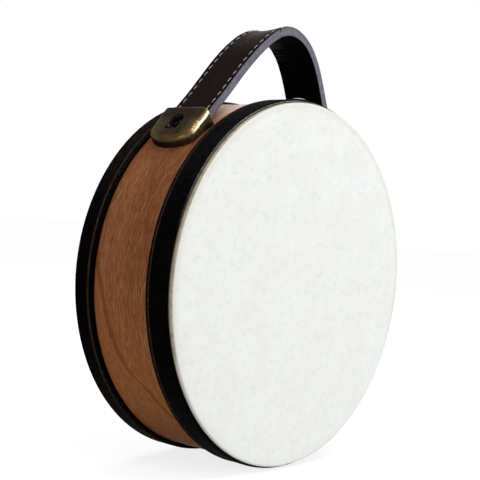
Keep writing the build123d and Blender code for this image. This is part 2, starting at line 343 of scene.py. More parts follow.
# ---------------------------------------- material tools
class Surface:
    """A node material around one Principled shader, patterned in millimetres."""

    def __init__(self, name, **settings):
        self.material = bpy.data.materials.new(name)
        self.material.use_nodes = True
        self.tree = self.material.node_tree
        self.shader = self.tree.nodes["Principled BSDF"]
        for socket, value in settings.items():
            self.shader.inputs[socket.replace("_", " ")].default_value = value

    def node(self, kind, inputs=(), **settings):
        made = self.tree.nodes.new(kind)
        for key, value in settings.items():
            setattr(made, key, value)
        for socket, value in dict(inputs).items():
            self.feed(made.inputs[socket], value)
        return made

    def feed(self, socket, value):
        if isinstance(value, bpy.types.NodeSocket):
            self.tree.links.new(value, socket)
        else:
            socket.default_value = value

    def math(self, operation, first, second=0.0, third=0.0):
        made = self.node("ShaderNodeMath", {0: first, 1: second, 2: third}, operation=operation)
        return made.outputs[0]

    def times(self, *values):
        product = values[0]
        for value in values[1:]:
            product = self.math("MULTIPLY", product, value)
        return product

    def uneven(self, value, pattern, amount):
        """The value, raised by an amount of a pattern."""
        return self.math("MULTIPLY_ADD", pattern, amount, value)

    def hypot(self, first, second):
        squares = self.math("ADD", self.times(first, first), self.times(second, second))
        return self.math("SQRT", squares)

    def away(self, along, aside, middle):
        """Millimetres from a place given in metres."""
        offs = [self.math("SUBTRACT", v, m / MM) for v, m in zip((along, aside), middle)]
        return self.hypot(*offs)

    def in_mm(self, point):
        """A place in metres as a vector in millimetres, and as its parts."""
        scaled = self.node("ShaderNodeVectorMath", {0: point, "Scale": 1 / MM}, operation="SCALE")
        parts = self.node("ShaderNodeSeparateXYZ", {0: scaled.outputs[0]})
        return scaled.outputs[0], parts.outputs

    def place(self):
        """The point on the surface."""
        return self.in_mm(self.node("ShaderNodeTexCoord").outputs["Object"])

    def run(self):
        """Position along the strap and round its outline, from its UV map."""
        return self.in_mm(self.node("ShaderNodeUVMap", uv_map="run").outputs[0])

    def stored(self, name):
        """A number kept with each point of the mesh."""
        return self.node("ShaderNodeAttribute", attribute_name=name).outputs["Fac"]

    def combine(self, x, y, z):
        return self.node("ShaderNodeCombineXYZ", {0: x, 1: y, 2: z}).outputs[0]

    def stretched(self, vector, stretch):
        """The vector times a number, or times one number for each axis."""
        stretch = stretch if isinstance(stretch, tuple) else (stretch,) * 3
        made = self.node("ShaderNodeVectorMath", {0: vector, 1: stretch}, operation="MULTIPLY")
        return made.outputs[0]

    def noise(self, vector, stretch, detail=3.0, roughness=0.55, distortion=0.0):
        inputs = {
            "Vector": self.stretched(vector, stretch),
            "Scale": 1.0,
            "Detail": detail,
            "Roughness": roughness,
            "Distortion": distortion,
        }
        return self.node("ShaderNodeTexNoise", inputs).outputs["Fac"]

    def cells(self, vector, stretch):
        inputs = {"Vector": self.stretched(vector, stretch), "Scale": 1.0}
        return self.node("ShaderNodeTexVoronoi", inputs).outputs["Distance"]

    def between(self, value, low, high, start=0.0, end=1.0):
        """Smooth step of a value from start at low to end at high."""
        inputs = {"Value": value, 1: low, 2: high, 3: start, 4: end}
        made = self.node("ShaderNodeMapRange", inputs, interpolation_type="SMOOTHSTEP")
        return made.outputs[0]

    def line(self, value, middle, width):
        """1 close to the middle, fading to 0 at half the width from it."""
        off = self.math("ABSOLUTE", self.math("SUBTRACT", value, middle))
        return self.between(off, width * 0.5, width * 0.25)

    def curve(self, share, points):
        """Millimetres read from a smooth curve of (share, share of the drum's depth) points."""
        made = self.node("ShaderNodeFloatCurve", {"Value": share})
        line = made.mapping.curves[0]
        line.points[0].location, line.points[1].location = points[0], points[-1]
        for place in points[1:-1]:
            line.points.new(*place)
        made.mapping.update()
        return self.math("MULTIPLY", made.outputs[0], drum_back / MM)

    def colour(self, amount, first, second):
        """Mix of two colours, each a colour socket or an sRGB triple."""
        made = self.node("ShaderNodeMix", data_type="RGBA")
        self.feed(made.inputs["Factor"], amount)
        for socket, value in ((made.inputs[6], first), (made.inputs[7], second)):
            self.feed(socket, value if isinstance(value, bpy.types.NodeSocket) else srgb(value))
        return made.outputs[2]

    def stain(self, ground, amount, strength, over):
        """The ground colour with another one over it."""
        return self.colour(self.times(amount, strength), ground, over)

    def finish(self, colour, roughness, *relief):
        """Wire colour, roughness and relief, as (pattern, its height in millimetres) pairs."""
        self.feed(self.shader.inputs["Base Color"], colour)
        self.feed(self.shader.inputs["Roughness"], roughness)
        height = 0.0
        for pattern, size in relief:
            height = self.uneven(height, pattern, size)
        bump_map = self.node("ShaderNodeBump", {"Height": height, "Distance": MM, "Strength": 1.0})
        self.feed(self.shader.inputs["Normal"], bump_map.outputs[0])
        return self.material


def srgb(triple):
    """Scene-linear colour of an sRGB triple."""
    shares = [value / 255 for value in triple]
    return [s / 12.92 if s <= 0.04045 else ((s + 0.055) / 1.055) ** 2.4 for s in shares] + [1.0]


def dress(piece, material):
    piece.data.materials.clear()
    piece.data.materials.append(material)


# ---------------------------------------- materials
def beech():
    """Oiled beech, its grain running round the shell: soft bands, ray flecks and growth lines."""
    s = Surface("beech", Specular_IOR_Level=0.003)
    _, (x, y, z) = s.place()
    turn = s.math("DIVIDE", s.math("ARCTAN2", x, z), 2 * pi)
    girth = s.times(turn, 2 * pi * shell_radius / MM)
    radius = s.hypot(x, z)
    grain = s.combine(girth, y, radius)
    wander = s.noise(grain, (0.010, 0.02, 0.0), detail=2.0)
    bent = s.combine(girth, s.uneven(y, wander, 5.0), radius)
    bands = s.noise(bent, (0.004, 0.10, 0.3), detail=3.0)
    cloud = s.noise(grain, (0.018, 0.05, 0.0), detail=3.0)
    fibres = s.noise(bent, (0.07, 2.0, 0.3), detail=3.0, roughness=0.7)
    flecks = s.noise(bent, (0.13, 1.7, 0.5), detail=2.0)
    glints = s.noise(bent, (0.14, 1.5, 0.9), detail=2.0)
    tint = s.colour(s.between(bands, 0.32, 0.68), (129, 79, 50), (148, 94, 60))
    tint = s.stain(tint, s.between(cloud, 0.40, 0.70), 0.40, (132, 77, 43))
    # painted light: the lower part of the shell warmed and lightened, as if lit from below
    painted_light_below = s.between(z, 30.0, -100.0)
    tint = s.stain(tint, painted_light_below, 0.6, (172, 110, 60))
    tint = s.stain(tint, s.between(fibres, 0.45, 0.80), 0.40, (112, 64, 38))
    tint = s.stain(tint, s.between(glints, 0.52, 0.66), 0.42, (190, 138, 104))
    tint = s.stain(tint, s.between(flecks, 0.54, 0.64), 0.58, (92, 48, 27))
    for points, width, strength in figure:
        course = s.curve(s.math("ADD", turn, 0.5), points)
        ragged = s.uneven(course, s.math("SUBTRACT", fibres, 0.5), 2.0)
        mark = s.line(s.math("SUBTRACT", y, ragged), 0.0, width)
        faded = s.between(cloud, 0.36, 0.56, 0.65 * strength, strength)
        tint = s.stain(tint, mark, faded, (112, 56, 28))
    # painted shade: the bottom of the shell darker and warmer
    painted_shade_underneath = s.between(z, -85.0, -115.0)
    # painted sheen: the top of the shell paler, and paler still at the very top, as lit from above
    top, painted_sheen_crest = s.between(z, 97.0, 116.0), s.between(z, 108.0, 119.0)
    tint = s.stain(tint, painted_shade_underneath, 0.5, (134, 78, 32))
    tint = s.stain(tint, top, 0.8, (240, 180, 140))
    tint = s.stain(tint, painted_sheen_crest, 0.75, (255, 230, 210))
    rough = s.between(fibres, 0.3, 0.8, 0.40, 0.56)
    return s.finish(tint, rough, (flecks, -0.04), (fibres, 0.05))


def hoop_wood():
    """Bare bent wood of the hoops inside the drum."""
    s = Surface("hoop_wood", Specular_IOR_Level=0.3)
    _, (x, y, z) = s.place()
    grain = s.combine(s.times(s.math("ARCTAN2", x, z), hoop_bore / MM), y, 7.0)
    bands = s.noise(grain, (0.01, 0.35, 0.0), detail=3.0)
    fibres = s.noise(grain, (0.08, 3.2, 0.0), detail=3.0, roughness=0.7)
    tint = s.colour(s.between(bands, 0.35, 0.65), (176, 140, 108), (196, 163, 129))
    tint = s.stain(tint, s.between(fibres, 0.5, 0.75), 0.5, (146, 110, 80))
    return s.finish(tint, s.between(fibres, 0.3, 0.8, 0.55, 0.75), (fibres, 0.05))


def skin():
    """White drum skin, faintly mottled, its side stained by handling and darkened as painted
    shade.
    """
    s = Surface("drum_skin", Specular_IOR_Level=0.1)
    point, (x, y, z) = s.place()
    cloud = s.noise(point, 0.035, detail=4.0)
    mottle = s.noise(point, 0.20, detail=5.0, roughness=0.6, distortion=0.8)
    fibres = s.noise(point, 1.3, detail=4.0, roughness=0.65)
    blotch = s.between(s.noise(point, 0.25, detail=3.0), 0.38, 0.62)
    tint = s.colour(s.between(cloud, 0.35, 0.65), (244, 244, 240), (245, 248, 245))
    tint = s.stain(tint, s.between(mottle, 0.48, 0.70), 0.6, (229, 235, 232))
    tint = s.stain(tint, s.between(fibres, 0.52, 0.72), 0.4, (227, 230, 226))
    rim = s.between(s.uneven(s.hypot(x, z), mottle, 4.0), 120.0, 126.5)
    tint = s.stain(tint, rim, s.between(z, -60.0, -20.0, 0.1, 0.5), (222, 219, 209))
    # The skin's side: beige, partly stains from handling and partly painted shade; paler low down
    # as painted light
    bottom = s.between(z, -38.0, -56.0, 0.0, 0.75)
    side = s.colour(blotch, (194, 185, 164), (169, 157, 133))
    side = s.colour(bottom, side, (238, 234, 224))
    depth = s.uneven(y, fibres, 0.6)
    tint = s.colour(s.between(depth, 0.5, 1.6), tint, side)
    # painted shade: the skin darker deep in the gap under the front band
    tint = s.colour(s.between(depth, 2.6, 4.2), tint, (104, 92, 80))
    return s.finish(tint, s.between(mottle, 0.3, 0.7, 0.62, 0.8), (fibres, 0.04), (mottle, 0.10))


def band_leather():
    """Black leather with a pressed crease line, brown along the crease, and with painted light
    over the top.
    """
    s = Surface("band_leather", Specular_IOR_Level=0.002)
    point, (x, y, z) = s.place()
    radius = s.hypot(x, z)
    pores = s.cells(point, 1.2)
    folds = s.noise(point, 0.5, detail=5.0, roughness=0.7, distortion=0.8)
    cloud = s.noise(point, 0.06, detail=3.0)
    grains = s.noise(point, 2.2, detail=2.0)
    tint = s.colour(s.between(folds, 0.42, 0.68), (2, 2, 3), (10, 9, 9))
    tint = s.stain(tint, s.between(cloud, 0.45, 0.70), 0.5, (10, 8, 7))
    tint = s.stain(tint, s.between(grains, 0.56, 0.68), 0.6, (30, 25, 22))
    # Dust and painted light: lighter over the top as painted light from above, and paler
    # underneath; grey in front, brown behind
    dust_and_light = s.math("ADD", s.between(z, 30.0, 100.0), s.between(z, -40.0, -118.0))
    dust_and_light = s.times(dust_and_light, s.between(folds, 0.38, 0.60))
    dust_and_light_tint = s.colour(s.between(y, 50.0, 70.0), (27, 27, 31), (37, 33, 27))
    dust_and_light_tint = s.colour(s.between(z, -100.0, -122.0), dust_and_light_tint, (56, 54, 47))
    tint = s.stain(tint, dust_and_light, 0.8, dust_and_light_tint)
    crease = s.math(
        "MAXIMUM",
        s.line(y, front_crease / MM, 1.1 * crease_width / MM),
        s.line(y, rear_crease / MM, 1.4 * crease_width / MM),
    )
    # brown along the crease lines
    worn = s.colour(s.between(folds, 0.35, 0.65), (44, 32, 25), (74, 57, 44))
    tint = s.stain(tint, crease, 0.75, worn)
    # Painted highlight along the inner edge of the front band, over the top, and painted sheen on
    # the cut edge of the rear one
    painted_edge_highlight = s.times(
        s.between(y, band_front / MM + 0.5, band_front / MM + 0.3),
        s.line(s.uneven(radius, folds, 0.5), head_radius / MM + 1.05, 1.0),
        s.between(s.uneven(z, cloud, 20.0), 40.0, 95.0),
    )
    tint = s.colour(painted_edge_highlight, tint, s.colour(s.between(folds, 0.4, 0.6), (132, 134, 132), (84, 82, 80)))
    # painted sheen: the rear band's cut edge grey over the top
    cut = s.times(s.line(y, rear_band_start / MM, 2.4), s.between(z, 95.0, 118.0))
    tint = s.colour(cut, tint, (72, 72, 66))
    # Painted highlight on the lifted place on top of the front band
    raised = s.between(radius, band_radius / MM + 0.30, band_radius / MM + 0.55)
    rubbed = s.times(raised, s.between(z, 100.0, 110.0), s.between(folds, 0.30, 0.55, 0.55, 1.0))
    tint = s.colour(rubbed, tint, (204, 212, 220))
    return s.finish(tint, s.between(folds, 0.3, 0.75, 0.60, 0.78), (pores, 0.22), (folds, 0.30))


def strap_leather():
    """Waxed dark brown leather with fine grain, paler over its crown as painted sheen."""
    s = Surface("strap_leather", Specular_IOR_Level=0.003)
    point, (_, _, z) = s.place()
    run, (along, _, _) = s.run()
    aside = s.math("DIVIDE", s.stored("across"), MM)
    pores = s.cells(point, 2.2)
    folds = s.noise(run, (0.30, 0.75, 1.0), detail=5.0, roughness=0.7, distortion=0.5)
    cloud = s.noise(run, (0.035, 0.06, 1.0), detail=3.0)
    tint = s.colour(s.between(folds, 0.35, 0.70), (27, 17, 18), (38, 27, 27))
    tint = s.stain(tint, s.between(cloud, 0.45, 0.70), 0.5, (40, 30, 29))
    # painted sheen: paler towards the top of the crown
    painted_sheen_crown = s.between(s.uneven(z, folds, 16.0), 158.0, 192.0)
    tint = s.stain(tint, painted_sheen_crown, 0.45, (48, 41, 36))
    rim = s.math("MAXIMUM", s.between(aside, 12.6, 14.4), s.between(aside, -13.6, -15.0))
    tint = s.stain(tint, rim, 0.85, (9, 6, 7))
    tint = s.colour(s.between(s.away(along, aside, spot), 1.3, 0.7), tint, (20, 9, 9))
    return s.finish(tint, s.between(folds, 0.3, 0.75, 0.40, 0.58), (pores, 0.05), (folds, 0.10))


def edge_paint():
    """Grey edge paint, brushed along the strap and cracked across where it flexes."""
    s = Surface("edge_paint", Specular_IOR_Level=0.15)
    run, (along, around, _) = s.run()
    brush = s.noise(run, (0.7, 0.2, 1.0), detail=4.0, roughness=0.7)
    across_lines = s.noise(run, (2.6, 0.1, 1.0), detail=3.0, roughness=0.7)
    cracks = s.between(s.noise(run, (0.9, 0.12, 1.0), detail=2.0), 0.66, 0.73)
    rubbed = s.noise(run, (0.06, 0.3, 1.0), detail=3.0)
    tint = s.colour(s.between(brush, 0.3, 0.7), (98, 97, 108), (130, 130, 145))
    tint = s.stain(tint, s.between(rubbed, 0.5, 0.7), 0.5, (84, 80, 90))
    tint = s.stain(tint, s.between(across_lines, 0.45, 0.70), 0.7, (76, 74, 84))
    tint = s.stain(tint, cracks, 0.6, (48, 44, 50))
    off_middle = s.math("ABSOLUTE", s.math("SUBTRACT", around, front_side_middle / MM))
    # painted shade: darker towards the edges of the rounded front side
    painted_shade_edges = s.between(s.uneven(off_middle, brush, 0.8), 2.3, 3.0)
    tint = s.stain(tint, painted_shade_edges, 0.5, (62, 58, 64))
    broken = s.line(s.uneven(along, brush, 2.4), crack_distance / MM + 1.2, 1.6)
    broken = s.times(broken, s.between(off_middle, 0.7, 1.5))
    tint = s.stain(tint, broken, 0.85, (40, 34, 38))
    rough = s.between(brush, 0.3, 0.7, 0.45, 0.62)
    return s.finish(tint, rough, (cracks, -0.25), (across_lines, 0.14))


def lining_leather():
    """Thin black lining, finely wrinkled across, with painted highlights on the wrinkles inside
    the bend.
    """
    s = Surface("lining_leather", Specular_IOR_Level=0.008)
    run, (along, _, _) = s.run()
    aside = s.math("DIVIDE", s.stored("across"), MM)
    fine = s.noise(run, (1.1, 0.10, 1.0), detail=3.0, roughness=0.6)
    folds = s.noise(run, (0.42, 0.030, 1.0), detail=2.0, roughness=0.4, distortion=0.5)
    tint = s.colour(s.between(fine, 0.35, 0.70), (3, 2, 2), (8, 6, 6))
    # painted highlight: wrinkle crests lightened inside the bend
    inside_bend = s.line(along, crown_distance / MM + 17, 44.0)
    inside_bend = s.times(inside_bend, s.between(aside, -2.0, 15.0))
    raised = s.times(s.between(folds, 0.50, 0.60), inside_bend)
    tint = s.stain(tint, raised, 0.9, (72, 63, 55))
    return s.finish(tint, s.between(fine, 0.3, 0.75, 0.48, 0.65), (fine, 0.05), (folds, 0.4))


def thread():
    """Waxed cream thread, darkened in its lay."""
    s = Surface("thread", Specular_IOR_Level=0.3)
    point, _ = s.place()
    fibres = s.noise(point, 5.0, detail=3.0)
    cloud = s.noise(point, 0.15, detail=2.0)
    tint = s.colour(s.between(fibres, 0.35, 0.65), (142, 138, 136), (168, 163, 160))
    tint = s.stain(tint, s.between(cloud, 0.5, 0.7), 0.4, (104, 99, 97))
    return s.finish(tint, s.between(fibres, 0.3, 0.7, 0.6, 0.8), (fibres, 0.1))


def antique_brass():
    """Pressed brass, browned all over, rubbed bright on its ridges and black in its dish, partly
    as painted shade; a painted highlight runs along its front shoulder.
    """
    s = Surface("antique_brass", Metallic=1.0, Specular_Tint=(0.66, 0.63, 0.60, 1.0))
    point, (x, y, z) = s.place()
    ridge = s.stored("ridge")
    cloud = s.noise(point, 0.16, detail=3.0, roughness=0.5)
    brushed = s.noise(point, (0.25, 1.6, 0.25), detail=3.0, roughness=0.6)
    speckle = s.noise(point, 0.9, detail=4.0, roughness=0.7)
    waves = s.noise(point, 0.09, detail=0.0)
    patchy = s.math("SUBTRACT", cloud, 0.5)
    # From the screw: across the strap, and away from the strap's crown
    aside = s.math("SUBTRACT", y, strap_middle / MM)
    sideways = s.times(s.math("ABSOLUTE", x), cos(screw_angle))
    along = s.math("SUBTRACT", sideways, s.times(z, sin(screw_angle)))
    reach = s.hypot(along, aside)
    outside = s.between(reach, 8.5, 10.5)
    # 1 where the surface faces straight out of the drum
    facing = s.node("ShaderNodeTexCoord").outputs["Normal"]
    nx, _, nz = s.node("ShaderNodeSeparateXYZ", {0: facing}).outputs
    lift = s.uneven(s.times(nz, cos(screw_angle)), s.math("ABSOLUTE", nx), sin(screw_angle))

    tint = s.colour(s.between(cloud, 0.35, 0.65), (27, 20, 12), (42, 34, 23))
    tint = s.stain(tint, s.between(brushed, 0.42, 0.68), 0.6, (78, 66, 48))
    tint = s.stain(tint, s.between(aside, 2.0, 14.0), 0.5, (84, 76, 64))
    # painted light: paler towards the front side
    tint = s.stain(tint, s.between(aside, -9.0, -16.0), 0.45, (104, 88, 64))
    round_over = s.uneven(ridge, patchy, 0.16)
    rubbed = s.times(s.between(round_over, 0.05, 0.16), outside)
    tint = s.stain(tint, rubbed, 0.55, (94, 74, 40))
    tint = s.stain(tint, s.between(speckle, 0.48, 0.66), 0.7, (32, 23, 12))
    # ridges rubbed bright, brighter towards the front as painted highlight
    edge = s.times(s.between(round_over, 0.26, 0.50), outside)
    tint = s.stain(tint, edge, s.between(aside, -6.0, -16.0, 0.30, 0.85), (196, 182, 148))
    flank = s.times(s.between(aside, -15.0, -19.0), s.between(speckle, 0.54, 0.42))
    tint = s.stain(tint, flank, 0.6, (140, 116, 72))
    mouth = s.between(along, 2.0, -5.0, 0.0, 0.75)
    tint = s.colour(mouth, tint, (32, 22, 16))
    # Painted highlight: a bright line along the front shoulder
    shoulder = s.uneven(lift, patchy, 0.3)
    painted_highlight_streak = s.times(
        s.between(shoulder, 0.12, 0.30),
        s.between(shoulder, 0.62, 0.44),
        s.between(aside, -13.0, -18.0, 0.03, 0.62),
        s.between(along, 9.0, 3.5, 0.08, 1.0),
    )
    tint = s.colour(painted_highlight_streak, tint, (236, 226, 200))
    # the foot of the cap darker, partly patina and partly painted shade, less so on the front
    # flank
    foot_height = s.math("SUBTRACT", s.uneven(s.hypot(x, z), speckle, 3.0), shell_radius / MM)
    foot = s.between(foot_height, 8.5, 3.5)
    tint = s.stain(tint, foot, s.between(aside, -19.5, -16.0, 0.20, 0.85), (26, 17, 10))
    tint = s.stain(tint, s.between(ridge, -0.01, -0.06), 0.8, (24, 22, 18))
    # the pit and the dish near black, partly corrosion and patina, partly painted shade in the
    # hollows
    left_side = s.between(x, 0.0, -10.0)
    sunk = s.times(s.between(s.away(along, aside, pit), 2.0, 1.3), left_side)
    tint = s.stain(tint, sunk, 0.9, (8, 7, 5))
    dish = s.between(s.uneven(reach, cloud, 0.8), 6.6, 5.6)
    tint = s.stain(tint, dish, 0.9, (7, 8, 6))
    rough = s.between(speckle, 0.3, 0.75, 0.34, 0.44)
    return s.finish(tint, rough, (speckle, 0.006), (waves, 0.5))


def dull_steel():
    """Plated steel, dark grey-green, partly from tarnish and partly as painted shade."""
    s = Surface("dull_steel", Metallic=1.0, Specular_Tint=(0.25, 0.28, 0.26, 1.0))
    point, _ = s.place()
    cloud = s.noise(point, 0.6, detail=4.0)
    speckle = s.noise(point, 3.0, detail=3.0)
    tint = s.colour(s.between(cloud, 0.35, 0.65), (12, 17, 15), (34, 41, 37))
    tint = s.stain(tint, s.between(speckle, 0.5, 0.7), 0.5, (9, 11, 9))
    return s.finish(tint, s.between(speckle, 0.3, 0.7, 0.35, 0.5), (speckle, 0.02))


# ---------------------------------------- drum
def unevenness(angle, y, radius):
    """Slow swelling of a leather band: thin over the rear one's top, lifted on the front one's."""
    if radius < head_radius + 0.5 * MM:
        return 0.0
    place = Vector((sin(angle), cos(angle), y / (20 * MM))) * 2.2
    if y > rear_band_start - 1 * MM:
        local = -rear_thinning * bump(from_top(angle), *rear_thinning_span)
    else:
        local = front_lift * bump(from_top(angle), *front_lift_span) * bump(y, *front_lift_depths)
    return noise.noise(place) * band_unevenness + local


def creased(middle):
    """Swelling of a band with a crease line pressed into its outside."""

    def swell(angle, y, radius):
        pressed = crease_depth * bump(y, middle, crease_width)
        return unevenness(angle, y, radius) - (pressed if radius > band_radius - 0.5 * MM else 0)

    return swell


def make_bands():
    front_outline = rounded_outline((
        (band_front, head_radius + band_gap, band_inner_radius),
        (band_front, band_radius, band_front_radius),
        (front_band_end, band_radius, band_edge_radius),
        (front_band_end, shell_radius, 0),
        (collar_end, shell_radius, 0),
        (collar_end, head_radius, 0),
        (band_front + band_gap_depth, head_radius, 0),
    ))
    rear_outline = rounded_outline((
        (rear_band_start, shell_radius, 0),
        (rear_band_start, band_radius, band_edge_radius),
        (drum_back, band_radius, rear_edge_radius),
        (drum_back, hoop_bore, rear_fold_radius),
        (shell_back, hoop_bore, 0),
        (shell_back, shell_radius, 0),
    ))
    black = band_leather()
    for node, outline, crease in (
        ("front_band", front_outline, front_crease),
        ("rear_band", rear_outline, rear_crease),
    ):
        piece = lathe(f"{node}_cover", divided(outline, 0.5 * MM), creased(crease))
        dress(piece, black)
        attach(piece, "drum")
        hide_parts(node)


def lip(angle, y, radius):
    """Swelling of the skin's edge, in front of the band."""
    share = ramp(radius, head_radius - 2.5 * MM, head_radius - 0.2 * MM)
    share *= ramp(y, band_front - 0.1 * MM, band_front - 1.4 * MM)
    return lip_swell * share * bump(from_top(angle), *lip_swell_span)


def make_head():
    outline = rounded_outline((
        (0, 0, 0),
        (0, head_radius, skin_edge_radius),
        (collar_end, head_radius, collar_edge_radius),
        (collar_end, shell_radius, 0),
        (skin_thickness, shell_radius, skin_edge_radius / 2),
        (skin_thickness, 0, 0),
    ), steps=10)
    head = lathe("drum_skin", divided(outline, 6 * MM), lip)
    dress(head, skin())
    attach(head, "drum")
    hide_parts("drumhead")


# ---------------------------------------- strap
def clamped_spline(points, first, last, steps=60):
    """Smooth curve through the points, leaving and arriving in the given directions."""
    points = np.array(points)
    spans = np.linalg.norm(np.diff(points, axis=0), axis=1)
    count = len(points)
    system, wanted = np.eye(count), np.zeros((count, 2))
    wanted[0], wanted[-1] = first, last
    for i in range(1, count - 1):
        before, after = spans[i - 1], spans[i]
        system[i, i - 1 : i + 2] = 1 / before, 2 / before + 2 / after, 1 / after
        wanted[i] = 3 * (points[i] - points[i - 1]) / before**2
        wanted[i] += 3 * (points[i + 1] - points[i]) / after**2
    slopes = np.linalg.solve(system, wanted)
    curve = []
    for i in range(count - 1):
        for t in np.arange(steps) / steps:
            curve.append(
                (1 + 2 * t) * (1 - t) ** 2 * points[i]
                + t * (1 - t) ** 2 * spans[i] * slopes[i]
                + t * t * (3 - 2 * t) * points[i + 1]
                + t * t * (t - 1) * spans[i] * slopes[i + 1]
            )
    return curve + [points[-1]]


def on_ring(radius, angle):
    """(x, z) of a point at an angle from the top towards the left cap."""
    return np.array((-radius * sin(angle), radius * cos(angle)))


def strap_rings():
    """Evenly spaced stations on the strap's middle line, as (distance past the left lift, place,
    direction out)."""
    foot = on_ring(foot_radius, mouth_angle)
    rise = crown_height - foot[1]
    arch = [(-x * foot[0], foot[1] + z * rise) for x, z in arch_ratios]
    lift = on_ring(end_radius, lift_angle)
    upward = on_ring(end_radius, lift_angle + pi / 2) / -end_radius
    mirror = np.array((-1, 1))
    left_end = [on_ring(end_radius, a) for a in np.linspace(end_angle, lift_angle, 30)[:-1]]
    bridge = [lift, foot, *arch, foot * mirror, lift * mirror]
    curve = clamped_spline(bridge, upward, -upward * mirror)
    line = np.array(left_end + curve + [p * mirror for p in reversed(left_end)])
    lengths = np.concatenate(([0], np.cumsum(np.linalg.norm(np.diff(line, axis=0), axis=1))))
    stations = np.linspace(0, lengths[-1], int(lengths[-1] / ring_spacing) + 1)
    places = np.stack([np.interp(stations, lengths, line[:, k]) for k in (0, 1)], axis=1)
    turns = np.gradient(places, stations, axis=0)
    turns /= np.linalg.norm(turns, axis=1)[:, None]
    return [
        (station - end_length, Vector((x, strap_middle, z)), Vector((-tz, 0, tx)))
        for station, (x, z), (tx, tz) in zip(stations, places, turns)
    ]


rings = strap_rings()
arch_length = rings[-1][0] - end_length
stitches = np.arange(first_stitch, arch_length - 2 * first_stitch, stitch_pitch)


def ring_at(distance):
    """The strap's station nearest to a distance."""
    return rings[round((distance - rings[0][0]) / (rings[1][0] - rings[0][0]))]


def worn_shape(distance, across, height):
    """How far use has moved a point of the strap across and out."""
    share = across / strap_half_width
    front = min(share, 0.0) ** 2
    upper = ramp(distance, *flare_start) * ramp(distance, *flare_end)
    rise = bend_rise * front * (1 + height / strap_half_height) / 2
    rise *= bump(distance, crown_distance, bend_rise_length)
    sag = bend_sag * (1 - share**2) * (1 + share) / 2
    sag *= bump(distance, crown_distance, bend_sag_length)
    return Vector((-front_flare * front * upper, rise - sag))


def sweep_strap(name, outline, shift):
    """Strap layer: an outline of (across, out) points carried along every station."""
    points, count = [], len(outline)
    for distance, place, out in rings:
        for across, height in outline:
            worn = worn_shape(distance, across, height) + shift(distance, across, height)
            points.append(place + Vector((0, across + worn.x, 0)) + out * (height + worn.y))
    layer = add_mesh(name, points, tube_faces(0, len(rings), count), sharp_angle=60)
    kept = layer.data.attributes.new("across", "FLOAT", "POINT")
    kept.data.foreach_set("value", [outline[v.index % count].x for v in layer.data.vertices])
    sides = [(outline[(i + 1) % count] - outline[i]).length for i in range(count)]
    around = np.cumsum([0] + sides)
    unwrapped = layer.data.uv_layers.new(name="run")
    for polygon in layer.data.polygons:
        if len(polygon.vertices) > 4:
            continue
        numbers = [v % count for v in polygon.vertices]
        wraps = max(numbers) - min(numbers) > 1
        for corner, vertex in zip(polygon.loop_indices, polygon.vertices):
            number = vertex % count
            far = around[count] if wraps and number == 0 else around[number]
            unwrapped.data[corner].uv = (rings[vertex // count][0], far)
    return layer


def drill(layer):
    """Screw holes through both ends of a strap layer."""
    for side in ("left", "right"):
        low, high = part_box(f"{side}_cap_screw")
        middle = (low + high) / 2
        outward = Vector((middle.x, 0, middle.z)).normalized()
        cutter = bpy.data.meshes.new("drill")
        work = bmesh.new()
        bmesh.ops.create_cone(
            work, cap_ends=True, segments=32, radius1=hole_radius, radius2=hole_radius,
            depth=hole_length,
        )
        work.to_mesh(cutter)
        work.free()
        tool = bpy.data.objects.new("drill", cutter)
        bpy.context.scene.collection.objects.link(tool)
        turn = outward.to_track_quat("Z", "Y")
        tool.matrix_world = Matrix.Translation(middle) @ turn.to_matrix().to_4x4()
        bpy.context.view_layer.update()
        cut = layer.modifiers.new("drill", "BOOLEAN")
        cut.object, cut.operation, cut.solver = tool, "DIFFERENCE", "EXACT"
        settle(layer)
        bpy.data.objects.remove(tool)


def settle(piece):
    """Turn a piece's modifiers into mesh."""
    graph = bpy.context.evaluated_depsgraph_get()
    mesh = bpy.data.meshes.new_from_object(piece.evaluated_get(graph))
    piece.modifiers.clear()
    old = piece.data
    piece.data = mesh
    bpy.data.meshes.remove(old)


def top_relief(distance, across, height):
    """Top leather: a little crowned, drawn down along the stitch rows and at their holes."""
    if height < strap_half_height - core_inset + 0.1 * MM:
        return Vector((0, 0))
    row = min(abs(across - front_row), abs(across - rear_row))
    crown = leather_crown * (1 - (across / strap_half_width) ** 2)
    groove = stitch_groove * bump(row, 0, stitch_groove_width)
    nearest = min(abs(distance - place) for place in stitches)
    hole = hole_dimple * bump(nearest, stitch_length / 2, hole_dimple_length)
    hole *= bump(row, 0, hole_dimple_width)
    ripple = leather_ripple * noise.noise(Vector((distance / (7 * MM), across / (11 * MM), 3.0)))
    return Vector((0, crown - groove - hole + ripple))


def lining_relief(distance, across, height):
    """Lining: fine wrinkles across the strap, deepest where it is bent inward."""
    if height > -strap_half_height + core_inset - 0.1 * MM:
        return Vector((0, 0))
    broad = noise.noise(Vector((distance / (3.4 * MM), across / (30 * MM), 1.0)))
    return Vector((0, wrinkle_height * broad * bump(distance, *wrinkle_span)))


def edge_relief(distance, across, height):
    """Edge paint: slightly uneven, and cracked through at the start of the bend."""
    place = Vector((distance / (3 * MM), across / (5 * MM), height / (2 * MM)))
    uneven = paint_unevenness * noise.noise(place)
    jag = 0.25 * height * noise.noise(Vector((height / MM, 0, 5.0)))
    notch = crack_depth * bump(distance + jag, crack_distance, crack_width)
    notch *= ramp(abs(height), 0.4 * MM, 1.6 * MM)
    return Vector((notch if across < 0 else 0.0, uneven))


